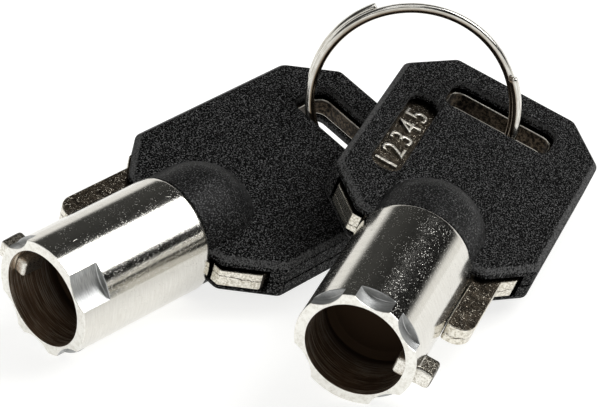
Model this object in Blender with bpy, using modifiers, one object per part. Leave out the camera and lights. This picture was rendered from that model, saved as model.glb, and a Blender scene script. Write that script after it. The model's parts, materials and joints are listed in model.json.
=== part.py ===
"""A pair of tubular lock keys on a small split ring, as it lies on a table.

Run with: blender --background --python part.py

Metres, +Z up. The origin is on the table, under the middle of the pair.
Each key is drawn in its own frame: +X runs along the barrel to its open end, from the
barrel's shoulder; +Y points to the side of the drive pin; +Z leaves the face that has
the number window. A key's six pieces hang on one empty, on the upright axis through the
key's slot about which the key fans out over the table.
"""

import math

import bmesh
import bpy
from mathutils import Euler, Matrix, Vector

MM = 0.001

# ---- driving dimensions ------------------------------------------------------------
FIT_GAP = 0.3 * MM              # clearance between neighbouring pieces

BARREL_RADIUS = 4.75 * MM       # standard tubular key, 9.5 mm outside
BORE_RADIUS = 3.88 * MM
BARREL_LENGTH = 12.85 * MM      # from the shoulder to the open end
BORE_DEPTH = 5.0 * MM
BORE_CORNER = 0.45 * MM
RIM_CHAMFER = 0.15 * MM
SPIGOT_RADIUS = 3.4 * MM        # the turned-down rear end that the covers grip
SPIGOT_LENGTH = 4.6 * MM
TONGUE_SLOT_FLOOR = -0.6 * MM   # where the slot for the bow plate ends

# Lock cuts in the rim: angle from the drive pin, half width as an angle, depth.
RIM_CUTS = ((50.0, 17.0, 1.0 * MM), (94.0, 17.0, 1.4 * MM), (140.0, 17.0, 0.8 * MM),
            (-134.0, 18.5, 2.65 * MM), (-38.5, 17.0, 0.9 * MM))
CUT_ROOT_RADIUS = 4.12 * MM     # the deepest point of a cut, just outside the bore

DRIVE_PIN_LENGTH = 2.05 * MM    # along the barrel
DRIVE_PIN_WIDTH = 1.6 * MM
DRIVE_PIN_CENTRE = 11.1 * MM    # its middle, along the barrel
DRIVE_PIN_INNER = 2.95 * MM     # radii of its two ends
DRIVE_PIN_OUTER = 5.95 * MM

PLATE_THICKNESS = 1.6 * MM
PLATE_HALF_WIDTH = 7.75 * MM
PLATE_REAR = -22.9 * MM
PLATE_REAR_HALF = 4.9 * MM
PLATE_PROUD = 0.2 * MM          # how far its edge stands out of the covers in front
FIN_TIP = 5.95 * MM             # the plate's finger beside the barrel
FIN_OUTER = 6.8 * MM
FIN_CORNER = 1.4 * MM

CROSS_PIN_RADIUS = 0.95 * MM
CROSS_PIN_X = -2.9 * MM
CROSS_PIN_HALF = 3.1 * MM

HEAD_THICKNESS = 3.8 * MM
HEAD_HALF_WIDTH = 8.82 * MM
HEAD_FRONT = -0.35 * MM
HEAD_FRONT_HALF = 5.45 * MM
HEAD_SIDE_FRONT = -4.1 * MM
HEAD_SIDE_REAR = -20.2 * MM
HEAD_REAR = -24.05 * MM
HEAD_REAR_HALF = 5.53 * MM
HEAD_EDGE = 0.55 * MM           # bevel round each face
PARTING_GAP = 0.3 * MM
COLLAR_RADIUS = 4.62 * MM
COLLAR_DOME_X = -2.9 * MM       # centre of the collar's round rear end

SLOT_FRONT, SLOT_REAR = -17.4 * MM, -21.3 * MM
SLOT_NEAR, SLOT_FAR = 4.8 * MM, -4.5 * MM
SLOT_CORNER = 1.0 * MM
PLATE_SLOT_INSET = 0.2 * MM    # the plate's own slot is this much smaller
WINDOW_FRONT, WINDOW_REAR = -5.75 * MM, -17.3 * MM
WINDOW_NEAR, WINDOW_FAR = -4.3 * MM, -6.85 * MM
WINDOW_CORNER = 0.9 * MM

RING_RADIUS = 8.3 * MM          # to the middle of the wire
WIRE_RADIUS = 0.38 * MM
LAYER_HALF = 0.42 * MM          # the two turns lie side by side
RING_SPREAD = 0.3 * MM          # how far the wire's two ends spring outward
RING_START, RING_SINGLE = 111.0, 92.0   # degrees: where the wire starts, and its single stretch
SPREAD_ANGLE = 95.0
RING_CENTRE = Vector((8.54, 12.97, 8.578)) * MM
RING_HEADING, RING_LEAN = -6.07, 10.97  # its axis turns to the left, and up, in degrees

# Each key: where the wire passes it, as an angle round the ring and a place in its slot;
# where its fan axis stands in the slot; and its roll, pitch and heading in degrees.
KEYS = {
    "right": {"ring_angle": -19.0, "wire": (-19.37 * MM, 1.62 * MM), "axis": (-19.87 * MM, 0.62 * MM),
              "turn": (-22.35, 3.17, -110.86)},
    "left": {"ring_angle": 196.7, "wire": (-18.45 * MM, 2.6 * MM), "axis": (-19.2 * MM, 3.1 * MM),
             "turn": (161.41, 1.23, -135.03)},
}

ROUND_STEPS = 48
COLLAR_STEPS = 40
RING_POINTS = 104

COLOURS = {  # colour, roughness, metallic
    "nickel": ((0.72, 0.70, 0.66), 0.22, 1.0),
    "pin_steel": ((0.66, 0.65, 0.62), 0.35, 1.0),
    "plate_steel": ((0.36, 0.34, 0.31), 0.45, 1.0),
    "black_plastic": ((0.022, 0.022, 0.024), 0.62, 0.0),
    "ring_steel": ((0.74, 0.73, 0.70), 0.18, 1.0),
}


# ---- scene helpers -----------------------------------------------------------------
def clear_scene():
    for obj in list(bpy.data.objects):
        bpy.data.objects.remove(obj)


def new_collection(name):
    collection = bpy.data.collections.new(name)
    bpy.context.scene.collection.children.link(collection)
    return collection


def make_material(name):
    colour, roughness, metallic = COLOURS[name]
    material = bpy.data.materials.new(name)
    material.use_nodes = True
    shader = material.node_tree.nodes["Principled BSDF"]
    shader.inputs["Base Color"].default_value = (*colour, 1.0)
    shader.inputs["Roughness"].default_value = roughness
    shader.inputs["Metallic"].default_value = metallic
    material.diffuse_color = (*colour, 1.0)
    return material


def add_object(name, data, collection):
    obj = bpy.data.objects.new(name, data)
    collection.objects.link(obj)
    return obj


def boolean(obj, other, operation="DIFFERENCE"):
    modifier = obj.modifiers.new(f"{operation.lower()} {other.name}", "BOOLEAN")
    modifier.operation = operation
    modifier.solver = "EXACT"
    modifier.object = other


def smooth_round(obj):
    obj.data.shade_smooth()
    obj.data.set_sharp_from_angle(angle=math.radians(35.0))


# ---- shape makers ------------------------------------------------------------------
def box_mesh(name, low, high):
    low, high = Vector(low), Vector(high)
    bm = bmesh.new()
    size = Matrix.Diagonal((*(high - low), 1.0))
    bmesh.ops.create_cube(bm, size=1.0, matrix=Matrix.Translation((low + high) / 2) @ size)
    mesh = bpy.data.meshes.new(name)
    bm.to_mesh(mesh)
    bm.free()
    return mesh


def rod_mesh(name, radius, start, end, steps):
    """A round rod between two points, turned by half a step so that no edge lies on an axis."""
    start, end = Vector(start), Vector(end)
    turn = (end - start).to_track_quat("Z", "Y").to_matrix().to_4x4()
    turn @= Matrix.Rotation(math.pi / steps, 4, "Z")
    bm = bmesh.new()
    bmesh.ops.create_cone(bm, cap_ends=True, segments=steps, radius1=radius, radius2=radius,
                          depth=(end - start).length, matrix=Matrix.Translation((start + end) / 2) @ turn)
    mesh = bpy.data.meshes.new(name)
    bm.to_mesh(mesh)
    bm.free()
    return mesh


def turned(name, profile, collection, steps):
    """A profile of (x, radius) points, from the rear end to the front, turned about X."""
    mesh = bpy.data.meshes.new(name)
    points = [(x, radius, 0.0) for x, radius in profile]
    mesh.from_pydata(points, [(i, i + 1) for i in range(len(points) - 1)], [])
    obj = add_object(name, mesh, collection)
    screw = obj.modifiers.new("turn", "SCREW")
    screw.axis = "X"
    screw.steps = steps
    screw.render_steps = steps
    screw.use_merge_vertices = True
    screw.merge_threshold = 1e-6
    screw.use_normal_calculate = True
    return obj


def arc(centre, radius, start, end, steps):
    """Points along an arc, with angles in degrees."""
    angles = [math.radians(start + (end - start) * i / steps) for i in range(steps + 1)]
    return [(centre[0] + radius * math.cos(a), centre[1] + radius * math.sin(a)) for a in angles]


def rounded_rectangle(x_low, x_high, y_low, y_high, corner, steps=4):
    right, left = x_high - corner, x_low + corner
    top, bottom = y_high - corner, y_low + corner
    return (arc((right, top), corner, 0, 90, steps) + arc((left, top), corner, 90, 180, steps)
            + arc((left, bottom), corner, 180, 270, steps) + arc((right, bottom), corner, 270, 360, steps))


def flat_mesh(name, outlines, low, high):
    """A flat outline, with any holes, from height low to height high."""
    curve = bpy.data.curves.new(name, "CURVE")
    curve.dimensions = "2D"
    curve.fill_mode = "BOTH"
    curve.extrude = (high - low) / 2
    for outline in outlines:
        spline = curve.splines.new("POLY")
        spline.points.add(len(outline) - 1)
        for point, (x, y) in zip(spline.points, outline):
            point.co = (x, y, 0.0, 1.0)
        spline.use_cyclic_u = True
    holder = add_object(name, curve, bpy.context.scene.collection)
    bpy.context.view_layer.update()
    mesh = bpy.data.meshes.new_from_object(holder.evaluated_get(bpy.context.evaluated_depsgraph_get()))
    bpy.data.objects.remove(holder)
    bm = bmesh.new()
    bm.from_mesh(mesh)
    bmesh.ops.remove_doubles(bm, verts=bm.verts, dist=1e-6)
    bmesh.ops.translate(bm, verts=bm.verts, vec=(0.0, 0.0, (low + high) / 2))
    bmesh.ops.recalc_face_normals(bm, faces=bm.faces)
    bm.to_mesh(mesh)
    bm.free()
    mesh.name = name
    return mesh


# ---- outlines ----------------------------------------------------------------------
def mirrored(half):
    """The outline whose +Y half is given from front to rear."""
    return half + [(x, -y) for x, y in reversed(half)]


def head_outline():
    return mirrored([(HEAD_FRONT, HEAD_FRONT_HALF), (HEAD_SIDE_FRONT, HEAD_HALF_WIDTH),
                     (HEAD_SIDE_REAR, HEAD_HALF_WIDTH), (HEAD_REAR, HEAD_REAR_HALF)])


def shoulder_x(y, proud):
    """X on the slanted front edge of the head at a given Y, moved out by proud."""
    run = HEAD_FRONT - HEAD_SIDE_FRONT
    rise = HEAD_HALF_WIDTH - HEAD_FRONT_HALF
    return HEAD_FRONT - (y - HEAD_FRONT_HALF) * run / rise + proud * math.hypot(run, rise) / rise


def plate_outline():
    """The bow plate: finger beside the barrel, slanted shoulders and square rear."""
    inner = BARREL_RADIUS + FIT_GAP
    tongue = TONGUE_SLOT_FLOOR - FIT_GAP
    side = PLATE_HALF_WIDTH
    shoulder = shoulder_x(side, PLATE_PROUD)
    finger = ([(tongue, inner), (FIN_TIP - 0.2 * MM, inner), (FIN_TIP, inner + 0.2 * MM)]
              + arc((FIN_TIP - FIN_CORNER, FIN_OUTER - FIN_CORNER), FIN_CORNER, 0, 90, 5)
              + [(shoulder_x(FIN_OUTER, PLATE_PROUD), FIN_OUTER)])
    rear_side = HEAD_SIDE_REAR + 0.6 * MM
    back = [(shoulder, side), (rear_side, side), (PLATE_REAR, PLATE_REAR_HALF)]
    far_corner = HEAD_FRONT_HALF + 0.15 * MM
    far = [(PLATE_REAR, -PLATE_REAR_HALF), (rear_side, -side), (shoulder, -side),
           (shoulder_x(far_corner, PLATE_PROUD), -far_corner),
           (shoulder_x(far_corner, PLATE_PROUD), -inner), (tongue, -inner)]
    return finger + back + far


def pocket_outline():
    """The room in the covers for the bow plate, open at both slanted front edges."""
    side = PLATE_HALF_WIDTH + FIT_GAP
    rear = PLATE_REAR - FIT_GAP
    rear_half = PLATE_REAR_HALF + FIT_GAP
    rear_side = HEAD_SIDE_REAR + 0.6 * MM
    return mirrored([(2.0 * MM, side), (rear_side - FIT_GAP, side), (rear, rear_half)])


def slot_outline(inset):
    return rounded_rectangle(SLOT_REAR + inset, SLOT_FRONT - inset, SLOT_FAR + inset, SLOT_NEAR - inset,
                             SLOT_CORNER - inset / 2)


# ---- one key -----------------------------------------------------------------------
class Key:
    """Puts pieces and cutters, drawn in the key's frame, on the key's empty."""

    def __init__(self, side, parts, cutters, materials):
        self.side = side
        self.parts = parts
        self.cutters = cutters
        self.materials = materials
        wire = Vector((*KEYS[side]["wire"], 0.0))
        axis = Vector((*KEYS[side]["axis"], 0.0))
        self.turn = Euler([math.radians(angle) for angle in KEYS[side]["turn"]])
        self.offset = self.turn.to_matrix() @ -axis
        self.empty = add_object(f"{side}_key_fan_axis", None, parts)
        self.empty.empty_display_size = 0.004
        self.empty.location = ring_point(KEYS[side]["ring_angle"]) + self.turn.to_matrix() @ (axis - wire)

    def settle(self, obj):
        obj.parent = self.empty
        obj.location = self.offset
        obj.rotation_euler = self.turn

    def piece(self, name, mesh, material):
        obj = add_object(f"{self.side}_{name}", mesh, self.parts)
        self.settle(obj)
        obj.data.materials.append(self.materials[material])
        return obj

    def turned_piece(self, name, profile, material, steps):
        obj = turned(f"{self.side}_{name}", profile, self.parts, steps)
        self.settle(obj)
        obj.data.materials.append(self.materials[material])
        return obj

    def cutter(self, name, mesh):
        obj = add_object(f"cut_{self.side}_{name}", mesh, self.cutters)
        return self.hide(obj)

    def turned_cutter(self, name, profile, steps):
        return self.hide(turned(f"cut_{self.side}_{name}", profile, self.cutters, steps))

    def hide(self, obj):
        self.settle(obj)
        obj.hide_render = True
        obj.display_type = "WIRE"
        return obj


def ring_axes():
    """The ring's sideways and upward directions and its axis, towards the keys' open ends."""
    heading, lean = math.radians(RING_HEADING), math.radians(RING_LEAN)
    axis = Vector((math.sin(heading) * math.cos(lean), -math.cos(heading) * math.cos(lean), math.sin(lean)))
    sideways = Vector((0.0, 0.0, 1.0)).cross(axis).normalized()
    return sideways, axis.cross(sideways), axis


def ring_point(angle, radius=RING_RADIUS, layer=0.0):
    sideways, upward, axis = ring_axes()
    turn = math.radians(angle)
    return RING_CENTRE + radius * (math.cos(turn) * sideways + math.sin(turn) * upward) + layer * axis


def add_barrel(key):
    spigot_chamfer = 0.3 * MM
    floor = BARREL_LENGTH - BORE_DEPTH
    profile = [(-SPIGOT_LENGTH, 0.0), (-SPIGOT_LENGTH, SPIGOT_RADIUS - spigot_chamfer),
               (-SPIGOT_LENGTH + spigot_chamfer, SPIGOT_RADIUS), (0.0, SPIGOT_RADIUS),
               (0.0, BARREL_RADIUS - RIM_CHAMFER), (RIM_CHAMFER, BARREL_RADIUS),
               (BARREL_LENGTH - RIM_CHAMFER, BARREL_RADIUS), (BARREL_LENGTH, BARREL_RADIUS - RIM_CHAMFER),
               (BARREL_LENGTH, BORE_RADIUS), (floor + BORE_CORNER, BORE_RADIUS),
               (floor, BORE_RADIUS - BORE_CORNER), (floor, 0.0)]
    barrel = key.turned_piece("barrel", profile, "nickel", ROUND_STEPS)
    for number, (angle, half_angle, depth) in enumerate(RIM_CUTS, 1):
        boolean(barrel, key.cutter(f"rim_cut_{number}", rim_cut_mesh(angle, half_angle, depth)))
    half = PLATE_THICKNESS / 2 + FIT_GAP
    slot = box_mesh("tongue_slot", (-SPIGOT_LENGTH - 1 * MM, -6 * MM, -half), (TONGUE_SLOT_FLOOR, 6 * MM, half))
    boolean(barrel, key.cutter("tongue_slot", slot))
    boolean(barrel, key.cutter("cross_hole", rod_mesh("cross_hole", CROSS_PIN_RADIUS + FIT_GAP,
                                                      (CROSS_PIN_X, 0, -5 * MM), (CROSS_PIN_X, 0, 5 * MM), 20)))
    reach_x = DRIVE_PIN_LENGTH / 2 + FIT_GAP
    reach_z = DRIVE_PIN_WIDTH / 2 + FIT_GAP
    hole = box_mesh("drive_pin_hole", (DRIVE_PIN_CENTRE - reach_x, 2 * MM, -reach_z),
                    (DRIVE_PIN_CENTRE + reach_x, 6 * MM, reach_z))
    boolean(barrel, key.cutter("drive_pin_hole", hole))
    smooth_round(barrel)


def rim_cut_mesh(angle, half_angle, depth):
    """A round-nosed milling cutter, beside the rim and parallel to the barrel."""
    half_width = BARREL_RADIUS * math.sin(math.radians(half_angle))
    reach = BARREL_RADIUS * math.cos(math.radians(half_angle)) - CUT_ROOT_RADIUS
    cutter_radius = (reach ** 2 + half_width ** 2) / (2 * reach)
    centre = CUT_ROOT_RADIUS + cutter_radius
    y, z = centre * math.cos(math.radians(angle)), centre * math.sin(math.radians(angle))
    return rod_mesh("rim_cut", cutter_radius, (BARREL_LENGTH - depth, y, z), (BARREL_LENGTH + 1 * MM, y, z), 40)


def add_drive_pin(key):
    low = (DRIVE_PIN_CENTRE - DRIVE_PIN_LENGTH / 2, DRIVE_PIN_INNER, -DRIVE_PIN_WIDTH / 2)
    high = (DRIVE_PIN_CENTRE + DRIVE_PIN_LENGTH / 2, DRIVE_PIN_OUTER, DRIVE_PIN_WIDTH / 2)
    pin = key.piece("drive_pin", box_mesh("drive_pin", low, high), "pin_steel")
    bevel = pin.modifiers.new("edges", "BEVEL")
    bevel.width = 0.25 * MM
    bevel.segments = 2


def add_bow_plate(key):
    half = PLATE_THICKNESS / 2
    plate = key.piece("bow_plate", flat_mesh("bow_plate", [plate_outline(), slot_outline(PLATE_SLOT_INSET)],
                                             -half, half), "plate_steel")
    boolean(plate, key.cutter("plate_hole", rod_mesh("plate_hole", CROSS_PIN_RADIUS + FIT_GAP,
                                                     (CROSS_PIN_X, 0, -2 * MM), (CROSS_PIN_X, 0, 2 * MM), 20)))


def add_cross_pin(key):
    key.piece("cross_pin", rod_mesh("cross_pin", CROSS_PIN_RADIUS, (CROSS_PIN_X, 0, -CROSS_PIN_HALF),
                                    (CROSS_PIN_X, 0, CROSS_PIN_HALF), 20), "pin_steel")


def collar_profile():
    """The round sleeve behind the barrel, with a domed rear end."""
    dome = arc((COLLAR_DOME_X, 0.0), COLLAR_RADIUS, 180, 90, 8)
    return [(x, max(radius, 0.0)) for x, radius in dome] + [(HEAD_FRONT, COLLAR_RADIUS), (HEAD_FRONT, 0.0)]


def add_cover(key, name, sign):
    """One plastic half of the head: sign is +1 for the face with the number window."""
    half = HEAD_THICKNESS / 2
    cover = key.piece(name, flat_mesh(name, [head_outline()], -half, half), "black_plastic")
    bevel = cover.modifiers.new("face edge", "BEVEL")
    bevel.width = HEAD_EDGE
    bevel.segments = 2
    bevel.limit_method = "ANGLE"
    bevel.angle_limit = math.radians(60.0)
    collar = key.turned_cutter(f"{name}_collar", collar_profile(), COLLAR_STEPS)
    boolean(cover, collar, "UNION")
    cavity = SPIGOT_RADIUS + FIT_GAP
    boolean(cover, key.cutter(f"{name}_cavity", rod_mesh("cavity", cavity, (-SPIGOT_LENGTH - FIT_GAP, 0, 0),
                                                         (2 * MM, 0, 0), COLLAR_STEPS)))
    room = PLATE_THICKNESS / 2 + FIT_GAP
    boolean(cover, key.cutter(f"{name}_pocket", flat_mesh("pocket", [pocket_outline()], -room, room)))
    boolean(cover, key.cutter(f"{name}_slot", flat_mesh("slot", [slot_outline(0.0)], -3 * MM, 3 * MM)))
    if sign > 0:
        window = rounded_rectangle(WINDOW_REAR, WINDOW_FRONT, WINDOW_FAR, WINDOW_NEAR, WINDOW_CORNER)
        boolean(cover, key.cutter(f"{name}_window", flat_mesh("window", [window], 0.0, 3 * MM)))
    far, near = -10 * MM, PARTING_GAP / 2
    bottom, top = (far, near) if sign > 0 else (-near, -far)
    boolean(cover, key.cutter(f"{name}_other_half", box_mesh("half", (-30 * MM, -12 * MM, bottom),
                                                             (10 * MM, 12 * MM, top))))
    smooth_round(cover)


def add_key(side, parts, cutters, materials):
    key = Key(side, parts, cutters, materials)
    add_barrel(key)
    add_drive_pin(key)
    add_bow_plate(key)
    add_cross_pin(key)
    add_cover(key, "face_cover", 1)
    add_cover(key, "back_cover", -1)


# ---- the split ring ----------------------------------------------------------------
def ease(value):
    value = min(max(value, 0.0), 1.0)
    return value * value * (3 - 2 * value)


def ring_path():
    """One wire wound nearly twice, which steps from its first turn to its second."""
    doubled = 360.0 - RING_SINGLE
    total = 2 * doubled + RING_SINGLE
    points = []
    for i in range(RING_POINTS + 1):
        run = total * i / RING_POINTS
        step = ease((run - doubled) / RING_SINGLE)
        to_end = min(run, total - run)
        radius = RING_RADIUS + RING_SPREAD * ease(1 - to_end / SPREAD_ANGLE)
        points.append(ring_point(RING_START + run, radius, LAYER_HALF * (2 * step - 1)))
    return points


def add_ring(parts, materials):
    curve = bpy.data.curves.new("split_ring", "CURVE")
    curve.dimensions = "3D"
    curve.bevel_depth = WIRE_RADIUS
    curve.bevel_resolution = 2
    curve.use_fill_caps = True
    spline = curve.splines.new("POLY")
    path = ring_path()
    spline.points.add(len(path) - 1)
    for point, place in zip(spline.points, path):
        point.co = (*(place - RING_CENTRE), 1.0)
    ring = add_object("split_ring", curve, parts)
    ring.location = RING_CENTRE
    curve.materials.append(materials["ring_steel"])


def main():
    clear_scene()
    parts = new_collection("tubular_key_pair")
    cutters = new_collection("cutters")
    materials = {name: make_material(name) for name in COLOURS}
    add_ring(parts, materials)
    for side in KEYS:
        add_key(side, parts, cutters, materials)


main()
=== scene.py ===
"""The looks of a pair of tubular keys on a split ring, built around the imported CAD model.

The scene is in metres, +Z up. Each key is drawn in its own frame, as in the CAD source: +X
along the barrel to its open end, +Y to the side of the drive pin, +Z out of the face that has
the number window. Sizes are in millimetres and angles in degrees, but the lights, the floor
and the depths of bumps are in metres.
"""

import json
import math

import bmesh
import bpy
from mathutils import Matrix, Vector, noise


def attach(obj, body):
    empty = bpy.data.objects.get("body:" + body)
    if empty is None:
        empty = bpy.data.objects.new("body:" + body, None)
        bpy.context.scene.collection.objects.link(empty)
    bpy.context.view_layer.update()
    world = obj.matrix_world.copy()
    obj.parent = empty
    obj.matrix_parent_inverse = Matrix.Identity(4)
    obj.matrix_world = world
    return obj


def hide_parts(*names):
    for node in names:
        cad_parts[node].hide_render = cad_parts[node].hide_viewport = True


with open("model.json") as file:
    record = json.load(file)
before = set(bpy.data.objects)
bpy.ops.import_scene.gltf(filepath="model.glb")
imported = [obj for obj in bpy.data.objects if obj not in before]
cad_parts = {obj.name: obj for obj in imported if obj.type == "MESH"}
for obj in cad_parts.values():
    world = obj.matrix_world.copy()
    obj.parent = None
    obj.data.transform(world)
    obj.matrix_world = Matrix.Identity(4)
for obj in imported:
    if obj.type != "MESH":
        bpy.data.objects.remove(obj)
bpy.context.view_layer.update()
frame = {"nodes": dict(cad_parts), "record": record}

MM = 0.001
FRONT = "faces_front"    # vertex attribute of a drive pin: 1 on its end towards the barrel's opening
PLACES = "key_place"     # vertex attribute: a point's place in its piece's own frame, in millimetres

# ---- sizes, near those of the CAD source -------------------------------------------
GAP = 0.3                # between pieces of one key
WELD = 0.001             # points about this near are joined
FLAT_TURN = 0.5          # faces that turn by less than this are merged before their edges are rounded
SHARP_TURN = 60.0        # edges that turn by more than this are rounded
BARREL_RADIUS = 4.75
BORE_RADIUS = 3.88
BARREL_LENGTH = 12.85
BORE_DEPTH = 5.0
SPIGOT_RADIUS = 3.4
SPIGOT_LENGTH = 4.6
SPIGOT_CHAMFER = 0.3
RIM_CUTS = ((50.0, 17.0, 1.0), (94.0, 17.0, 1.4), (140.0, 17.0, 0.8), (-134.0, 18.5, 2.65),
            (-38.5, 17.0, 0.9))   # angle from the drive pin, half width as an angle, depth
UNCUT_DEPTH = 0.35                # how far behind the rim the cuts' points lie where there is no cut
CUT_ROOT_RADIUS = 4.12
PIN_CENTRE, PIN_LENGTH, PIN_WIDTH, PIN_INNER, PIN_OUTER = 11.1, 2.05, 1.6, 2.95, 5.95
PIN_ROUNDING, PIN_PLAY, PIN_FRONT = 0.34, 0.06, 0.12
PIN_DENTS, PIN_DENT_SCALE = 0.05, 1.3
PLATE_HALF, PLATE_ROUNDING = 0.8, 0.11
PLATE_SIDE = 7.75
PLATE_REAR, PLATE_REAR_HALF = -22.9, 4.9
PLATE_PROUD = 0.2                 # how far the plate stands out of the head's slanted front
SHOULDER_CORNER, TIP_CORNER = 0.35, 0.3
FIN_INNER, FIN_OUTER, FIN_TIP, FIN_CORNER = 4.78, 6.8, 5.95, 1.4
TONGUE_FRONT = -0.9
CROSS_PIN_X, CROSS_HOLE = -2.9, 1.25
HEAD_HALF = 1.9
HEAD_OUTLINE = ((-0.35, 5.45), (-4.1, 8.82), (-20.2, 8.82), (-24.05, 5.53))  # front to rear, +Y side
HEAD_CORNER, HEAD_CORNER_MIN = 0.9, 0.3
HEAD_PROFILE = ((-0.37, 0.0), (1.24, 0.0), (1.36, 0.03), (1.47, 0.10), (1.78, 0.41), (1.86, 0.52),
                (1.9, 0.68))   # height and inset of one half's edge, from past the parting line up
PARTING = 0.07                    # half the seam between the two covers
MOUTH_ROUNDING, SEAM_ROUNDING = 0.14, 0.07
AHEAD, ABOVE = 2.0, 3.0           # X in front of the covers and Z over the head, where cuts begin
COLLAR_RADIUS, COLLAR_DOME_X, COLLAR_FRONT, COLLAR_CHAMFER = 4.62, -2.9, -0.14, 0.12
SLOT = (-21.3, -17.4, -4.5, 4.8, 1.0)   # x and y limits, corner
PLATE_SLOT_INSET = 0.2
WINDOW = (-17.3, -5.75, -6.85, -4.3, 1.15)
DIGITS, DIGIT_SIZE, DIGIT_SPACING = "12345", 2.7, 1.35
DIGIT_HALF_HEIGHT, DIGIT_ROUNDING, DIGIT_THINNING, DIGIT_RAISE = 0.12, 0.07, -0.045, 0.05
RIM_MOUNT_RADIUS, RIM_MOUNT_ANGLE = 4.3, -85.0   # where the rim mounts lie, in the key's frame

RING_RADIUS = 8.2
RING_CENTRE = (8.45, 12.97, 8.59)
RING_HEADING, RING_LEAN = -6.07, 10.97
RING_START, RING_SINGLE = 111.0, 92.0       # where the wire begins, and the part it covers only once
RING_SPREAD, SPREAD_ANGLE = 0.3, 95.0       # how far the ends stand off, and over what angle
RING_STEPS, TIP_ANGLE = 420, 0.6
LAYER_HALF = 0.42
WIRE_RADIAL, WIRE_AXIAL, WIRE_SQUARENESS = 0.385, 0.405, 0.72

CAMERA_PLACE = (0.182, -215.199, 127.935)
CAMERA_FORWARD = (-0.0029, 0.8716, -0.4902)
CAMERA_UP = (0.0052, 0.4902, 0.8716)
CAMERA_LENS, CAMERA_SENSOR = 192.0, 36.0

FLOOR_REACH = 3.0
FLOOR_COLOUR, FLOOR_GLOW = (0.42, 0.42, 0.415), 0.78

LIGHTS = (   # name, azimuth, elevation, distance, width, height, power, roll
    ("key_light", 76.7, 44.8, 1.2, 0.96, 0.36, 7.5, 37.0),
    ("key_halo", 76.7, 44.8, 1.21, 1.14, 0.56, 2.6, 37.0),
    ("top_light", 0.0, 86.0, 1.3, 1.0, 0.8, 3.0, 0.0),
    ("front_light", 200.0, 50.0, 1.3, 0.8, 0.6, 1.6, 0.0),
)

HORIZON_LEAN = 0.14                             # the bright horizon reaches higher on the left
HORIZON_STOPS = ((0.24, 1.0), (0.36, 0.0))      # height above the horizon, brightness
HORIZON_COLOUR = (1.0, 0.99, 0.96)
ROOM_STOPS = ((0.0, 0.055), (0.3, 0.024), (0.65, 0.004))   # place from middle to right, brightness


# ---- the keys' frames, from the record's mounts ------------------------------------
def mount(name):
    entry = next(m for m in frame["record"]["mounts"] if m["name"] == name)
    return Vector(entry["pos_m"]), Vector(entry["axis"])


def key_matrix(side):
    """The key's frame in the scene, worked out from the mounts on its rim and its drive pin."""
    rim, forward = mount(f"{side}_rim")
    sideways = mount(f"{side}_drive_pin_tip")[1]
    upward = forward.cross(sideways)
    angle = math.radians(RIM_MOUNT_ANGLE)
    origin = rim - MM * (BARREL_LENGTH * forward + RIM_MOUNT_RADIUS * math.cos(angle) * sideways
                         + RIM_MOUNT_RADIUS * math.sin(angle) * upward)
    turn = Matrix((forward, sideways, upward)).transposed().to_4x4()
    return Matrix.Translation(origin) @ turn @ Matrix.Scale(MM, 4)


# ---- mesh helpers ------------------------------------------------------------------
def add_object(name, mesh, materials):
    obj = bpy.data.objects.new(name, mesh)
    bpy.context.scene.collection.objects.link(obj)
    for material in materials:
        mesh.materials.append(material)
    return obj


def apply_modifiers(obj):
    graph = bpy.context.evaluated_depsgraph_get()
    mesh = bpy.data.meshes.new_from_object(obj.evaluated_get(graph))
    obj.modifiers.clear()
    obj.data = mesh


def to_mesh(bm, name):
    mesh = bpy.data.meshes.new(name)
    bmesh.ops.recalc_face_normals(bm, faces=bm.faces)
    bm.to_mesh(mesh)
    bm.free()
    return mesh


def loft(bm, rings, material_of=None):
    """A closed solid between rings of the same length; material_of(i, j) gives a face's material."""
    rows = [[bm.verts.new(point) for point in ring] for ring in rings]
    count = len(rows[0])
    for i in range(len(rows) - 1):
        for j in range(count):
            k = (j + 1) % count
            face = bm.faces.new((rows[i][j], rows[i][k], rows[i + 1][k], rows[i + 1][j]))
            face.material_index = material_of(i, j) if material_of else 0
    first, last = bm.faces.new(rows[0]), bm.faces.new(rows[-1])
    if material_of:
        first.material_index = material_of(0, 0)
        last.material_index = material_of(len(rows) - 2, 0)


def arc(centre, radius, start, end, steps):
    angles = [math.radians(start + (end - start) * i / steps) for i in range(steps + 1)]
    return [(centre[0] + radius * math.cos(a), centre[1] + radius * math.sin(a)) for a in angles]


def rounded_rectangle(x_low, x_high, y_low, y_high, corner, steps=8):
    right, left, top, bottom = x_high - corner, x_low + corner, y_high - corner, y_low + corner
    return (arc((right, top), corner, 0, 90, steps) + arc((left, top), corner, 90, 180, steps)
            + arc((left, bottom), corner, 180, 270, steps) + arc((right, bottom), corner, 270, 360, steps))


def curve_mesh(curve):
    """A filled curve or a text as a mesh."""
    holder = bpy.data.objects.new(curve.name, curve)
    bpy.context.scene.collection.objects.link(holder)
    bpy.context.view_layer.update()
    mesh = bpy.data.meshes.new_from_object(holder.evaluated_get(bpy.context.evaluated_depsgraph_get()))
    bpy.data.objects.remove(holder)
    return mesh


def welded(mesh, distance):
    """The mesh as a BMesh, with the points nearer than the distance joined."""
    bm = bmesh.new()
    bm.from_mesh(mesh)
    bmesh.ops.remove_doubles(bm, verts=bm.verts, dist=distance)
    return bm


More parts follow.
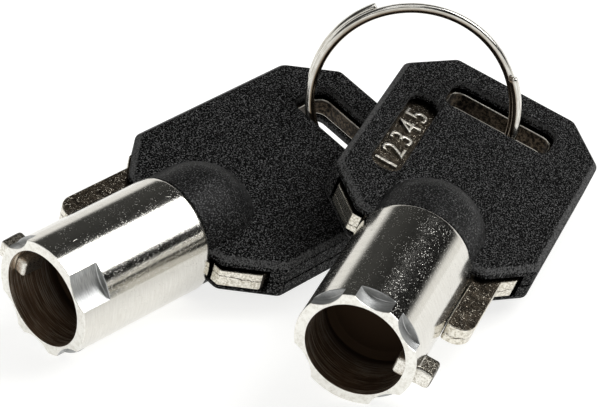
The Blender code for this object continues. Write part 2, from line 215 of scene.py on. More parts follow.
def flat_solid(name, outlines, low, high):
    """A flat outline, with any holes, from height low to height high."""
    curve = bpy.data.curves.new(name, "CURVE")
    curve.dimensions = "2D"
    curve.fill_mode = "BOTH"
    curve.extrude = (high - low) / 2
    for outline in outlines:
        spline = curve.splines.new("POLY")
        spline.points.add(len(outline) - 1)
        for point, (x, y) in zip(spline.points, outline):
            point.co = (x, y, 0.0, 1.0)
        spline.use_cyclic_u = True
    mesh = curve_mesh(curve)
    bm = welded(mesh, WELD)
    bpy.data.meshes.remove(mesh)
    bmesh.ops.translate(bm, verts=bm.verts, vec=(0.0, 0.0, (low + high) / 2))
    return to_mesh(bm, name)


def turned(name, profile, steps):
    """A closed turned solid from (x, radius) points between two points on the X axis."""
    angles = [2 * math.pi * i / steps for i in range(steps)]
    bm = bmesh.new()
    loft(bm, [[(x, radius * math.cos(a), radius * math.sin(a)) for a in angles] for x, radius in profile])
    return to_mesh(bm, name)


def box_solid(name, low, high):
    low, high = Vector(low), Vector(high)
    bm = bmesh.new()
    matrix = Matrix.Translation((low + high) / 2) @ Matrix.Diagonal((*(high - low), 1.0))
    bmesh.ops.create_cube(bm, size=1.0, matrix=matrix)
    return to_mesh(bm, name)


def rod_solid(name, radius, start, end, steps=48):
    start, end = Vector(start), Vector(end)
    turn = (end - start).to_track_quat("Z", "Y").to_matrix().to_4x4()
    bm = bmesh.new()
    bmesh.ops.create_cone(bm, cap_ends=True, segments=steps, radius1=radius, radius2=radius,
                          depth=(end - start).length, matrix=Matrix.Translation((start + end) / 2) @ turn)
    return to_mesh(bm, name)


def cut(obj, mesh, operation="DIFFERENCE"):
    """Cuts off or joins on a solid, before the piece is placed, and applies the result."""
    other = bpy.data.objects.new(mesh.name, mesh)
    bpy.context.scene.collection.objects.link(other)
    modifier = obj.modifiers.new(operation, "BOOLEAN")
    modifier.operation = operation
    modifier.solver = "EXACT"
    modifier.object = other
    apply_modifiers(obj)
    bpy.data.objects.remove(other)


def clean(obj):
    """Joins doubled points and drops the slivers that the cuts leave."""
    bm = welded(obj.data, 2 * WELD)
    bmesh.ops.dissolve_degenerate(bm, dist=2 * WELD, edges=bm.edges)
    bm.to_mesh(obj.data)
    bm.free()


def round_edges(obj, width, height, segments=3):
    """Rounds the sharp outer edges that lie flat at a height above and below the middle plane."""
    bm = welded(obj.data, WELD)
    bmesh.ops.dissolve_limit(bm, angle_limit=math.radians(FLAT_TURN), verts=bm.verts, edges=bm.edges)
    weights = bm.edges.layers.float.new("bevel_weight_edge")
    for edge in bm.edges:
        level = all(abs(abs(vertex.co.z) - height) < 2 * WELD for vertex in edge.verts)
        convex = len(edge.link_faces) == 2 and edge.is_convex
        sharp = convex and edge.calc_face_angle() > math.radians(SHARP_TURN)
        edge[weights] = 1.0 if level and sharp else 0.0
    bm.to_mesh(obj.data)
    bm.free()
    bevel = obj.modifiers.new("round edges", "BEVEL")
    bevel.width = width
    bevel.segments = segments
    bevel.limit_method = "WEIGHT"
    bevel.use_clamp_overlap = False
    apply_modifiers(obj)
    obj.data.attributes.remove(obj.data.attributes["bevel_weight_edge"])


def smooth(obj, angle):
    """Smooth shading that keeps flat faces flat and edges over the angle sharp."""
    obj.data.shade_smooth()
    obj.data.set_sharp_from_angle(angle=math.radians(angle))
    weighted = obj.modifiers.new("flat faces", "WEIGHTED_NORMAL")
    weighted.keep_sharp = True
    weighted.weight = 100
    apply_modifiers(obj)


def remember_places(obj, places):
    """Keeps the points' places in the piece's own frame, in millimetres, for its materials."""
    attribute = obj.data.attributes.new(PLACES, "FLOAT_VECTOR", "POINT")
    for item, place in zip(attribute.data, places):
        item.vector = place


def place_piece(obj, side, matrix, angle):
    """Smooths a piece drawn in its key's millimetres, and places it on that key."""
    smooth(obj, angle)
    remember_places(obj, [vertex.co.copy() for vertex in obj.data.vertices])
    obj.data.transform(matrix)
    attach(obj, f"{side}_key")


# ---- materials ---------------------------------------------------------------------
def add_ramp(tree, value, stops):
    """A colour ramp over a value; each stop is (position, colour)."""
    node = tree.nodes.new("ShaderNodeValToRGB")
    elements = node.color_ramp.elements
    while len(elements) < len(stops):
        elements.new(0.5)
    for element, (position, colour) in zip(elements, stops):
        element.position = position
        element.color = (*colour, 1.0)
    tree.links.new(value, node.inputs["Fac"])
    return node.outputs["Color"]


def add_mix(tree, factor, first, second):
    """A mix of two colours, each an output or a fixed colour."""
    node = tree.nodes.new("ShaderNodeMix")
    node.data_type = "RGBA"
    for socket, value in (("Factor", factor), ("A", first), ("B", second)):
        inlet = next(i for i in node.inputs if i.name == socket and i.enabled)
        if isinstance(value, tuple):
            inlet.default_value = (*value, 1.0)
        else:
            tree.links.new(value, inlet)
    return next(o for o in node.outputs if o.enabled)


class Shader:
    """A Principled material with short calls for the nodes that the looks here need.

    Its coordinates are the places that a piece remembers, in millimetres, or with on_key off
    the scene's, in metres."""

    def __init__(self, name, colour, roughness, metallic, on_key=True):
        self.material = bpy.data.materials.new(name)
        self.material.use_nodes = True
        self.tree = self.material.node_tree
        self.shader = self.tree.nodes["Principled BSDF"]
        self.set("Base Color", (*colour, 1.0))
        self.set("Roughness", roughness)
        self.set("Metallic", metallic)
        if on_key:
            attribute = self.tree.nodes.new("ShaderNodeAttribute")
            attribute.attribute_name = PLACES
            self.places = attribute.outputs["Vector"]
        else:
            self.places = self.tree.nodes.new("ShaderNodeTexCoord").outputs["Object"]

    def set(self, socket, value):
        self.shader.inputs[socket].default_value = value

    def link(self, output, socket):
        self.tree.links.new(output, socket)

    def drive(self, socket, output):
        self.link(output, self.shader.inputs[socket])

    def stretched(self, x, y, z):
        """The coordinates times a factor on each axis."""
        mapping = self.tree.nodes.new("ShaderNodeMapping")
        mapping.inputs["Scale"].default_value = (x, y, z)
        self.link(self.places, mapping.inputs["Vector"])
        return mapping.outputs["Vector"]

    def noise(self, scale, detail=3.0, roughness=0.6, vector=None):
        node = self.tree.nodes.new("ShaderNodeTexNoise")
        node.inputs["Scale"].default_value = scale
        node.inputs["Detail"].default_value = detail
        node.inputs["Roughness"].default_value = roughness
        self.link(vector or self.places, node.inputs["Vector"])
        return node.outputs["Fac"]

    def dots(self, scale, radius):
        """1 inside small dots, one in each cell, and 0 elsewhere."""
        node = self.tree.nodes.new("ShaderNodeTexVoronoi")
        node.inputs["Scale"].default_value = scale
        self.link(self.places, node.inputs["Vector"])
        return self.grey(node.outputs["Distance"], [(radius * 0.35, 1.0), (radius, 0.0)])

    def colours(self, value, stops):
        return add_ramp(self.tree, value, stops)

    def grey(self, value, stops):
        return add_ramp(self.tree, value, [(position, (level,) * 3) for position, level in stops])

    def mix(self, factor, first, second):
        return add_mix(self.tree, factor, first, second)

    def both(self, first, second):
        return self.math("MULTIPLY", first, second)

    def math(self, operation, first, second=0.0):
        node = self.tree.nodes.new("ShaderNodeMath")
        node.operation = operation
        for inlet, value in zip(node.inputs, (first, second)):
            if isinstance(value, bpy.types.NodeSocket):
                self.link(value, inlet)
            else:
                inlet.default_value = value
        return node.outputs["Value"]

    def axis(self, name):
        parts = self.tree.nodes.new("ShaderNodeSeparateXYZ")
        self.link(self.places, parts.inputs["Vector"])
        return parts.outputs[name]

    def line(self, value, width):
        """1 where a value is near a half, and 0 elsewhere: contour lines of a noise."""
        away = self.math("ABSOLUTE", self.math("SUBTRACT", value, 0.5))
        return self.grey(away, [(width * 0.5, 1.0), (width, 0.0)])

    def bump(self, *layers):
        """Stacks bump layers, each (height, distance in metres), on the shader's normal."""
        normal = None
        for height, distance in layers:
            node = self.tree.nodes.new("ShaderNodeBump")
            node.inputs["Distance"].default_value = distance
            self.link(height, node.inputs["Height"])
            if normal is not None:
                self.link(normal, node.inputs["Normal"])
            normal = node.outputs["Normal"]
        self.drive("Normal", normal)


def polished_nickel():
    """Barrel wall: bright plating with lines round it, pits, specks, dull spots and a few scratches."""
    look = Shader("polished_nickel", (0.70, 0.685, 0.64), 0.15, 1.0)
    around = look.noise(1.0, 4.0, 0.75, look.stretched(11.0, 0.9, 0.9))
    grain = look.noise(7.0, 2.0, 0.6)
    pits = look.both(look.dots(2.3, 0.085), look.grey(look.noise(1.1), [(0.45, 0.0), (0.6, 1.0)]))
    specks = look.both(look.dots(4.5, 0.14), look.grey(look.noise(0.7, 2.0), [(0.42, 0.3), (0.6, 1.0)]))
    scratches = look.line(look.noise(0.4, 0.0, 0.4, look.stretched(0.5, 1.0, 1.0)), 0.002)
    scratches = look.both(scratches, look.grey(look.noise(1.3, 1.0), [(0.54, 0.0), (0.62, 1.0)]))
    gloss = look.grey(look.noise(2.4, 4.0, 0.7), [(0.3, 0.09), (0.75, 0.16)])
    dull = look.both(look.dots(6.0, 0.34), look.grey(look.noise(1.4, 3.0), [(0.42, 0.04), (0.62, 0.38)]))
    look.drive("Roughness", look.math("ADD", gloss, dull))
    tint = look.noise(1.0, 4.0, 0.75, look.stretched(7.0, 0.7, 0.7))
    nickel = look.colours(tint, [(0.3, (0.65, 0.63, 0.58)), (0.65, (0.72, 0.705, 0.66))])
    look.drive("Base Color", look.mix(pits, nickel, (0.95, 0.94, 0.90)))
    look.bump((around, 0.9e-6), (grain, 3.2e-6), (specks, -4.5e-6), (pits, -1.2e-5), (scratches, -4.0e-6))
    return look.material


def rim_nickel():
    """Rim land: plated and slightly matte, with a fine grain and small knocks."""
    look = Shader("rim_nickel", (0.76, 0.745, 0.69), 0.32, 1.0)
    fine = look.noise(6.0, 3.0, 0.65)
    mottle = look.noise(3.0, 4.0, 0.75)
    look.drive("Roughness", look.grey(fine, [(0.3, 0.26), (0.7, 0.42)]))
    look.drive("Base Color", look.colours(mottle, [(0.35, (0.70, 0.68, 0.62)), (0.55, (0.87, 0.86, 0.81))]))
    look.bump((look.noise(1.6, 3.0), 8.0e-6), (fine, 4.0e-6))
    return look.material


def milled_nickel():
    """Rim cuts: matte grey with the milling cutter's marks."""
    look = Shader("milled_nickel", (0.50, 0.505, 0.50), 0.4, 1.0)
    marks = look.noise(1.0, 3.0, 0.65, look.stretched(16.0, 1.2, 1.2))
    look.drive("Base Color", look.colours(marks, [(0.35, (0.30, 0.305, 0.305)), (0.65, (0.52, 0.525, 0.52))]))
    look.bump((marks, 5.0e-6), (look.noise(7.0), 3.0e-6))
    return look.material


def bored_nickel():
    """Bore: unpolished, dark and brownish, with fine turning rings, the brightest painted near-white as
    highlights, and painted shade that darkens it towards its floor.
    """
    look = Shader("bored_nickel", (0.15, 0.11, 0.08), 0.38, 1.0)
    rings = look.noise(1.0, 2.0, 0.8, look.stretched(17.0, 0.25, 0.25))
    # the last stop paints the ring tops near-white: a painted highlight over the rings' real bump
    tint = look.colours(rings, [(0.42, (0.27, 0.19, 0.13)), (0.545, (0.42, 0.31, 0.22)),
                                (0.585, (1.0, 0.96, 0.86))])
    # painted shade: the bore's colour turns near-black towards its floor, by depth alone
    depth = look.grey(look.math("DIVIDE", look.axis("X"), 20.0), [(0.43, 0.0), (0.52, 1.0)])
    look.drive("Base Color", look.mix(depth, (0.042, 0.027, 0.017), tint))
    look.drive("Roughness", look.grey(depth, [(0.0, 0.7), (1.0, 0.38)]))
    look.bump((rings, 3.0e-5), (look.noise(5.0), 8.0e-6))
    return look.material


def plate_face():
    """Bow plate's faces: dark, grainy plating over rolled steel, with bright grains that are painted glints.
    """
    look = Shader("plate_face", (0.10, 0.085, 0.065), 0.3, 1.0)
    grain = look.noise(7.0, 3.0, 0.7)
    blotch = look.noise(1.3, 3.0, 0.6)
    dark = look.colours(blotch, [(0.35, (0.014, 0.011, 0.008)), (0.7, (0.062, 0.050, 0.036))])
    # painted glints: the grain's highest points are made bright, over the grain's real bump
    bright = look.grey(grain, [(0.58, 0.0), (0.67, 1.0)])
    look.drive("Base Color", look.mix(bright, dark, (0.62, 0.57, 0.47)))
    look.drive("Roughness", look.grey(grain, [(0.3, 0.40), (0.7, 0.22)]))
    look.bump((blotch, 2.0e-5), (grain, 3.2e-5))
    return look.material


def sheared_edge():
    """The plate's stamped edges: bright, with a rough dark line where the metal tore."""
    look = Shader("sheared_edge", (0.70, 0.67, 0.58), 0.27, 1.0)
    wobble = look.both(look.math("SUBTRACT", look.noise(1.1, 3.0, 0.7), 0.5), 0.8)
    height = look.math("ADD", look.math("ADD", look.axis("Z"), 0.15), wobble)
    line = look.grey(look.math("ABSOLUTE", height), [(0.02, 1.0), (0.055, 0.0)])
    gaps = look.grey(look.noise(2.6, 2.0), [(0.42, 0.0), (0.5, 1.0)])
    grain = look.noise(5.0, 3.0, 0.65)
    base = look.colours(grain, [(0.35, (0.46, 0.42, 0.34)), (0.58, (0.80, 0.77, 0.69))])
    look.drive("Base Color", look.mix(look.both(line, gaps), base, (0.10, 0.08, 0.06)))
    look.bump((line, -3.0e-5), (grain, 1.5e-5))
    return look.material


def slot_edge():
    """The plate's edge inside the slot: brown and rough, darkened with painted shade, under a painted
    highlight along its top.
    """
    look = Shader("slot_edge", (0.24, 0.19, 0.13), 0.36, 1.0)
    grain = look.noise(4.0, 3.0, 0.7)
    # painted shade: the wall in the slot is made near-black, with some brown
    brown = look.colours(grain, [(0.42, (0.010, 0.008, 0.006)), (0.70, (0.11, 0.085, 0.06))])
    # painted highlight: a bright line along the top edge
    rim = look.grey(look.math("ABSOLUTE", look.axis("Z")), [(0.68, 0.0), (0.74, 1.0)])
    look.drive("Base Color", look.mix(rim, brown, (0.86, 0.83, 0.75)))
    look.bump((grain, 2.5e-5))
    return look.material


def pin_plating():
    """Drive pin: rough plating, painted bright as a highlight in the bore and on its front end, and painted
    darker as shade on its sides.
    """
    look = Shader("pin_plating", (0.50, 0.47, 0.41), 0.3, 1.0)
    grain = look.noise(6.0, 3.0, 0.7)
    outer = look.grey(look.math("DIVIDE", look.axis("Y"), 8.0), [(0.575, 0.0), (0.595, 1.0)])
    bright = look.colours(grain, [(0.35, (0.50, 0.47, 0.40)), (0.55, (0.88, 0.86, 0.80))])
    dark = look.colours(grain, [(0.46, (0.03, 0.025, 0.018)), (0.70, (0.50, 0.47, 0.40))])
    facing = look.tree.nodes.new("ShaderNodeAttribute")
    facing.attribute_name = FRONT
    # painted shade and highlight: the sides past the barrel wall are made dark, the front end and the part in
    # the bore stay bright
    shaded_sides = look.both(outer, look.math("SUBTRACT", 1.0, facing.outputs["Fac"]))
    look.drive("Base Color", look.mix(shaded_sides, bright, dark))
    look.drive("Roughness", look.grey(grain, [(0.3, 0.42), (0.7, 0.22)]))
    look.bump((grain, 2.6e-5))
    return look.material


def digit_plating():
    """Raised digits: worn bright on top."""
    look = Shader("digit_plating", (0.76, 0.72, 0.63), 0.28, 1.0)
    grain = look.noise(6.0, 3.0, 0.7)
    look.drive("Base Color", look.colours(grain, [(0.35, (0.50, 0.46, 0.38)), (0.55, (0.85, 0.82, 0.74))]))
    look.bump((grain, 1.6e-5))
    return look.material


def grained_plastic(name, contrast, depth, sheen):
    """Black covers: a fine moulded grain, with a painted highlight that makes the chamfered edge of the head
    lighter.
    """
    look = Shader(name, (0.010, 0.010, 0.010), 0.42, 0.0)
    look.set("Specular IOR Level", sheen)
    grain = look.noise(8.0, 2.0, 0.8)
    cloud = look.noise(0.25, 3.0, 0.6)
    black = look.colours(grain, [(0.5 - contrast, (0.0003,) * 3), (0.53, (0.001,) * 3),
                                 (0.5 + contrast * 1.3, (0.17,) * 3)])
    # painted highlight: lighter grain colours for the chamfer band between the face and the side
    painted_highlight = look.colours(grain, [(0.5 - contrast, (0.008,) * 3), (0.5 + contrast, (0.12,) * 3)])
    height = look.math("DIVIDE", look.math("ABSOLUTE", look.axis("Z")), 4.0)
    chamfer = look.grey(height, [(0.345, 0.0), (0.365, 1.0), (0.445, 1.0), (0.465, 0.0)])
    look.drive("Base Color", look.mix(chamfer, black, painted_highlight))
    look.drive("Roughness", look.grey(cloud, [(0.3, 0.38), (0.7, 0.48)]))
    look.bump((grain, depth))
    return look.material


def ring_wire():
    """Split ring: bright drawn wire, with painted shade in dark brown on the inside; its places are (along,
    outward, sideways).
    """
    look = Shader("ring_wire", (0.66, 0.64, 0.59), 0.13, 1.0)
    scuffs = look.noise(1.0, 3.0, 0.65, look.stretched(0.9, 6.0, 6.0))
    # painted shade: the inner half of the wire's section is made dark brown
    inside = look.grey(look.math("ADD", look.axis("Y"), 0.5), [(0.43, 1.0), (0.60, 0.0)])
    bright = look.colours(scuffs, [(0.35, (0.52, 0.50, 0.45)), (0.6, (0.78, 0.765, 0.72))])
    look.drive("Base Color", look.mix(inside, bright, (0.20, 0.155, 0.11)))
    look.drive("Roughness", look.grey(scuffs, [(0.3, 0.08), (0.7, 0.2)]))
    look.bump((scuffs, 4.0e-6))
    return look.material


def cross_pin_plating():
    """Cross pin, hidden in the collar: plain plating, on the CAD mesh, so its scale is in metres."""
    look = Shader("cross_pin_plating", (0.62, 0.60, 0.55), 0.35, 1.0, False)
    grain = look.noise(5000.0, 3.0, 0.7)
    look.drive("Roughness", look.grey(grain, [(0.3, 0.45), (0.7, 0.25)]))
    look.bump((grain, 1.0e-5))
    return look.material


# ---- barrel ------------------------------------------------------------------------
def cut_at(angle):
    """The rim cut that reaches an angle: (depth, radius left standing there), or none."""
    for centre, half_angle, depth in RIM_CUTS:
        offset = math.radians((angle - centre + 180.0) % 360.0 - 180.0)
        if abs(offset) > math.radians(half_angle) + 1e-9:
            continue
        half_width = BARREL_RADIUS * math.sin(math.radians(half_angle))
        reach = BARREL_RADIUS * math.cos(math.radians(half_angle)) - CUT_ROOT_RADIUS
        cutter = (reach ** 2 + half_width ** 2) / (2 * reach)
        middle = CUT_ROOT_RADIUS + cutter
        root = max(cutter ** 2 - (middle * math.sin(offset)) ** 2, 0.0)
        return depth, min(middle * math.cos(offset) - math.sqrt(root), BARREL_RADIUS)
    return None


def barrel_angles():
    angles = {float(a) for a in range(-180, 180)}
    for centre, half_angle, _ in RIM_CUTS:
        for side in (-1, 1):
            angles.update((centre + side * half_angle, centre + side * (half_angle + 0.08)))
    return sorted({(a + 180.0) % 360.0 - 180.0 for a in angles})


def barrel_column(angle):
    """(x, radius) down the wall, over the rim and into the bore, at one angle."""
    found = cut_at(angle)
    depth, radius = found if found else (UNCUT_DEPTH, BARREL_RADIUS)
    full, end, bore = BARREL_RADIUS, BARREL_LENGTH, BORE_RADIUS
    edge = min(0.05, (full - radius) / 2.5)
    step = end - depth
    floor = end - BORE_DEPTH
    spigot = [(-SPIGOT_LENGTH, SPIGOT_RADIUS - SPIGOT_CHAMFER),
              (-SPIGOT_LENGTH + SPIGOT_CHAMFER, SPIGOT_RADIUS), (0.0, SPIGOT_RADIUS)]
    wall = [(0.0, full - 0.16), (0.05, full - 0.05), (0.16, full), (0.4, full), (3.4, full), (6.6, full),
            (9.2, full), (step - 0.05, full)]
    cut_step = [(step, full - edge), (step, radius + edge), (step + edge, radius), (end - 0.08, radius)]
    rim = [(end - 0.024, radius - 0.024), (end, radius - 0.08), (end, bore + 0.06),
           (end - 0.018, bore + 0.018)]
    inside = [(end - 0.06, bore), (end - 1.7, bore), (end - 3.2, bore), (floor + 0.45, bore),
              (floor + 0.1, bore - 0.35), (floor, bore - 0.5), (floor, 2.2), (floor, 1.0)]
    return spigot + wall + cut_step + rim + inside


WALL, RIM, CUT, BORE = range(4)
WALL_END, CUT_END, RIM_END = 10, 14, 18   # a column's segments up to the step, the rim and the bore


def barrel_material(segment, in_cut):
    if segment < WALL_END:
        return WALL
    if segment < CUT_END:
        return CUT if in_cut else WALL
    return RIM if segment < RIM_END else BORE


def make_barrel(side, matrix):
    angles = barrel_angles()
    turns = [math.radians(angle) for angle in angles]
    columns = [barrel_column(angle) for angle in angles]
    rings = [[(x, radius * math.cos(turn), radius * math.sin(turn))
              for turn, (x, radius) in zip(turns, level)] for level in zip(*columns)]
    cuts = [cut_at(angle) is not None for angle in angles]
    bm = bmesh.new()
    loft(bm, rings, lambda i, j: barrel_material(i, cuts[j] and cuts[(j + 1) % len(cuts)]))
    barrel = add_object(f"{side}_barrel_detailed", to_mesh(bm, "barrel"), BARREL_LOOKS)
    reach, half = PIN_LENGTH / 2 + PIN_PLAY, PIN_WIDTH / 2 + PIN_PLAY
    inside, outside = 3.0, 6.0   # radii within the bore and past the wall
    cut(barrel, box_solid("pin_hole", (PIN_CENTRE - reach, inside, -half),
                          (PIN_CENTRE + reach, outside, half)))
    cut(barrel, box_solid("tongue_slot", (-SPIGOT_LENGTH - 1.0, -outside, -PLATE_HALF - GAP),
                          (TONGUE_FRONT + GAP, outside, PLATE_HALF + GAP)))
    cut(barrel, rod_solid("cross_hole", CROSS_HOLE, (CROSS_PIN_X, 0, -5.0), (CROSS_PIN_X, 0, 5.0)))
    clean(barrel)
    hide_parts(f"{side}_barrel")
    place_piece(barrel, side, matrix, 30.0)


# ---- drive pin, plate and digits ---------------------------------------------------
def roughen(obj, size, scale):
    """Moves the points a little, by a fixed noise, so that a stamped surface isn't perfectly flat."""
    offsets = (Vector((0.0, 0.0, 0.0)), Vector((31.4, 0.0, 0.0)), Vector((0.0, 47.2, 0.0)))
    for vertex in obj.data.vertices:
        place = vertex.co * scale
        vertex.co += Vector([noise.noise(place + offset) for offset in offsets]) * size


def make_drive_pin(side, matrix):
    low = (PIN_CENTRE - PIN_LENGTH / 2, PIN_INNER, -PIN_WIDTH / 2)
    high = (PIN_CENTRE + PIN_LENGTH / 2, PIN_OUTER, PIN_WIDTH / 2)
    bm = bmesh.new()
    bm.from_mesh(box_solid("pin", low, high))
    bmesh.ops.bevel(bm, geom=list(bm.edges), offset=PIN_ROUNDING, segments=5, profile=0.5, affect="EDGES")
    bmesh.ops.subdivide_edges(bm, edges=bm.edges, cuts=2, use_grid_fill=True)
    pin = add_object(f"{side}_drive_pin_detailed", to_mesh(bm, "pin"), [LOOKS["pin"]])
    front = pin.data.attributes.new(FRONT, "FLOAT", "POINT")
    for item, vertex in zip(front.data, pin.data.vertices):
        item.value = 1.0 if vertex.co.x > high[0] - PIN_FRONT else 0.0
    roughen(pin, PIN_DENTS, PIN_DENT_SCALE)
    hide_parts(f"{side}_drive_pin")
    place_piece(pin, side, matrix, 60.0)


def shoulder_x(y, proud):
    """X on the slanted front edge of the head at a given Y, moved out by proud."""
    (front, front_half), (side_front, half) = HEAD_OUTLINE[:2]
    run, rise = front - side_front, half - front_half
    return front - (y - front_half) * run / rise + proud * math.hypot(run, rise) / rise


def rounded_corner(before, corner, after, radius, steps=5):
    """An arc in place of a corner of an outline."""
    a, b, c = Vector(before), Vector(corner), Vector(after)
    to_a, to_c = (a - b).normalized(), (c - b).normalized()
    half = to_a.angle(to_c) / 2
    reach = radius / math.tan(half)
    start, end = b + to_a * reach, b + to_c * reach
    centre = b + (to_a + to_c).normalized() * (radius / math.sin(half))
    first, turn = start - centre, (start - centre).angle_signed(end - centre)
    points = []
    for i in range(steps + 1):
        angle = -turn * i / steps
        points.append((centre.x + first.x * math.cos(angle) - first.y * math.sin(angle),
                       centre.y + first.x * math.sin(angle) + first.y * math.cos(angle)))
    return points


def plate_outline():
    """Round the plate from the root of its finger, by +Y, the rear and -Y, back to the tongue."""
    rear_side = HEAD_OUTLINE[2][0] + 2 * GAP
    shoulder = shoulder_x(PLATE_SIDE, PLATE_PROUD)
    fin_root = (shoulder_x(FIN_OUTER, PLATE_PROUD), FIN_OUTER)
    near_side, near_rear = (shoulder, PLATE_SIDE), (rear_side, PLATE_SIDE)
    far_side, far_rear = (shoulder, -PLATE_SIDE), (rear_side, -PLATE_SIDE)
    far_corner = HEAD_OUTLINE[0][1] + 0.15
    far = (shoulder_x(far_corner, PLATE_PROUD), -far_corner)
    tip = (far[0], -FIN_INNER)
    finger_end = rounded_corner((0, FIN_INNER), (FIN_TIP, FIN_INNER), (FIN_TIP, FIN_OUTER), TIP_CORNER)
    finger_side = arc((FIN_TIP - FIN_CORNER, FIN_OUTER - FIN_CORNER), FIN_CORNER, 0, 90, 12)
    near = rounded_corner(fin_root, near_side, near_rear, SHOULDER_CORNER)
    rear = [near_rear, (PLATE_REAR, PLATE_REAR_HALF), (PLATE_REAR, -PLATE_REAR_HALF), far_rear]
    far_shoulder = rounded_corner(far_rear, far_side, far, SHOULDER_CORNER)
    far_tip = rounded_corner(far_side, far, tip, TIP_CORNER)
    return ([(TONGUE_FRONT, FIN_INNER)] + finger_end + finger_side + [fin_root] + near + rear
            + far_shoulder + far_tip + [tip, (TONGUE_FRONT, -FIN_INNER)])


def slot_outline(inset):
    x_low, x_high, y_low, y_high, corner = SLOT
    return rounded_rectangle(x_low + inset, x_high - inset, y_low + inset, y_high - inset, corner - inset / 2)


def make_plate(side, matrix):
    mesh = flat_solid("plate", [plate_outline(), slot_outline(PLATE_SLOT_INSET)], -PLATE_HALF, PLATE_HALF)
    plate = add_object(f"{side}_bow_plate_detailed", mesh, [LOOKS["plate"], LOOKS["edge"], LOOKS["slot"]])
    cut(plate, rod_solid("plate_hole", CROSS_HOLE, (CROSS_PIN_X, 0, -2.0), (CROSS_PIN_X, 0, 2.0)))
    round_edges(plate, PLATE_ROUNDING, PLATE_HALF)
    flat, edge, slot = range(3)
    for face in plate.data.polygons:
        x, y = face.center.x, face.center.y
        at_slot = SLOT[0] <= x <= SLOT[1] and SLOT[2] <= y <= SLOT[3]
        under_covers = not at_slot and x < shoulder_x(abs(y), -0.5)
        if under_covers or abs(face.normal.z) > 0.8:
            face.material_index = flat
        else:
            face.material_index = slot if at_slot else edge
    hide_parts(f"{side}_bow_plate")
    place_piece(plate, side, matrix, 28.0)


def make_digits(side, matrix):
    """A generic key number, raised on the plate inside the window."""
    curve = bpy.data.curves.new("digits", "FONT")
    curve.body = DIGITS
    curve.size = DIGIT_SIZE
    curve.space_character = DIGIT_SPACING
    curve.offset = DIGIT_THINNING
    curve.align_x = "CENTER"
    curve.align_y = "CENTER"
    curve.extrude = DIGIT_HALF_HEIGHT
    curve.bevel_depth = DIGIT_ROUNDING
    curve.bevel_resolution = 2
    mesh = curve_mesh(curve)
    x_low, x_high, y_low, y_high, _ = WINDOW
    centre = Matrix.Translation(((x_low + x_high) / 2, (y_low + y_high) / 2, PLATE_HALF + DIGIT_RAISE))
    mesh.transform(centre @ Matrix.Rotation(math.pi, 4, "Z"))
    mesh = to_mesh(welded(mesh, WELD / 2), "digits")
    digits = add_object(f"{side}_plate_digits", mesh, [LOOKS["digits"]])
    place_piece(digits, side, matrix, 40.0)


# ---- covers ------------------------------------------------------------------------
def mirrored(half):
    return list(half) + [(x, -y) for x, y in reversed(half)]


def head_outline(inset):
    """The head's outline, drawn in by inset, with its corners a little rounded, as moulded."""
    corners = mirrored(HEAD_OUTLINE)
    count = len(corners)
    moved = []
    for i, corner in enumerate(corners):
        before, here, after = Vector(corners[i - 1]), Vector(corner), Vector(corners[(i + 1) % count])
        inward = ((before - here).normalized() + (after - here).normalized()).normalized()
        half = (before - here).angle(after - here) / 2
        moved.append(here + inward * inset / math.sin(half))
    points = []
    for i, corner in enumerate(moved):
        radius = max(HEAD_CORNER - inset * 0.8, HEAD_CORNER_MIN)
        points += rounded_corner(moved[i - 1], corner, moved[(i + 1) % count], radius, 6)
    return points


def head_half(sign):
    """One half of the head as a solid, from a little past the middle plane to its flat face."""
    bm = bmesh.new()
    loft(bm, [[(x, y, sign * height) for x, y in head_outline(inset)] for height, inset in HEAD_PROFILE])
    return to_mesh(bm, "head_half")


def pocket_outline():
    """The room for the plate between the covers, open at the front."""
    side, rear = PLATE_SIDE + GAP, PLATE_REAR - GAP
    rear_side = HEAD_OUTLINE[2][0] + GAP
    return mirrored([(AHEAD, side), (rear_side, side), (rear, PLATE_REAR_HALF + GAP)])


def collar_profile():
    dome = arc((COLLAR_DOME_X, 0.0), COLLAR_RADIUS, 178, 90, 28)
    return dome + [(COLLAR_FRONT - COLLAR_CHAMFER, COLLAR_RADIUS),
                   (COLLAR_FRONT, COLLAR_RADIUS - COLLAR_CHAMFER)]


def make_cover(side, name, sign, matrix):
    """One plastic half of the head: sign is +1 for the face with the number window."""
    cover = add_object(f"{side}_{name}_detailed", head_half(sign), [LOOKS["plastic"], LOOKS["collar"]])
    cut(cover, turned("collar", collar_profile(), 128), "UNION")
    cut(cover, rod_solid("cavity", SPIGOT_RADIUS + GAP, (-SPIGOT_LENGTH - GAP, 0, 0), (AHEAD, 0, 0)))
    cut(cover, flat_solid("pocket", [pocket_outline()], -PLATE_HALF - GAP, PLATE_HALF + GAP))
    cut(cover, flat_solid("slot", [slot_outline(0.0)], -ABOVE, ABOVE))
    if sign > 0:
        cut(cover, flat_solid("window", [rounded_rectangle(*WINDOW)], 0.0, ABOVE))
    # a box round all that lies past the seam
    low, high = (-10.0, PARTING) if sign > 0 else (-PARTING, 10.0)
    cut(cover, box_solid("other_half", (-30.0, -12.0, low), (10.0, 12.0, high)))
    round_edges(cover, MOUTH_ROUNDING, HEAD_HALF)
    round_edges(cover, SEAM_ROUNDING, PARTING, 2)
    head, collar = range(2)
    for face in cover.data.polygons:
        face.material_index = collar if abs(face.center.z) > HEAD_HALF + 0.02 else head
    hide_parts(f"{side}_{name}")
    place_piece(cover, side, matrix, 35.0)


# ---- split ring --------------------------------------------------------------------
def ring_axes():
    """The ring's sideways and upward directions in its own plane, and its axis."""
    heading, lean = math.radians(RING_HEADING), math.radians(RING_LEAN)
    axis = Vector((math.sin(heading) * math.cos(lean), -math.cos(heading) * math.cos(lean), math.sin(lean)))
    sideways = Vector((0.0, 0.0, 1.0)).cross(axis).normalized()
    return sideways, axis.cross(sideways), axis


def ease(value):
    value = min(max(value, 0.0), 1.0)
    return value * value * (3 - 2 * value)


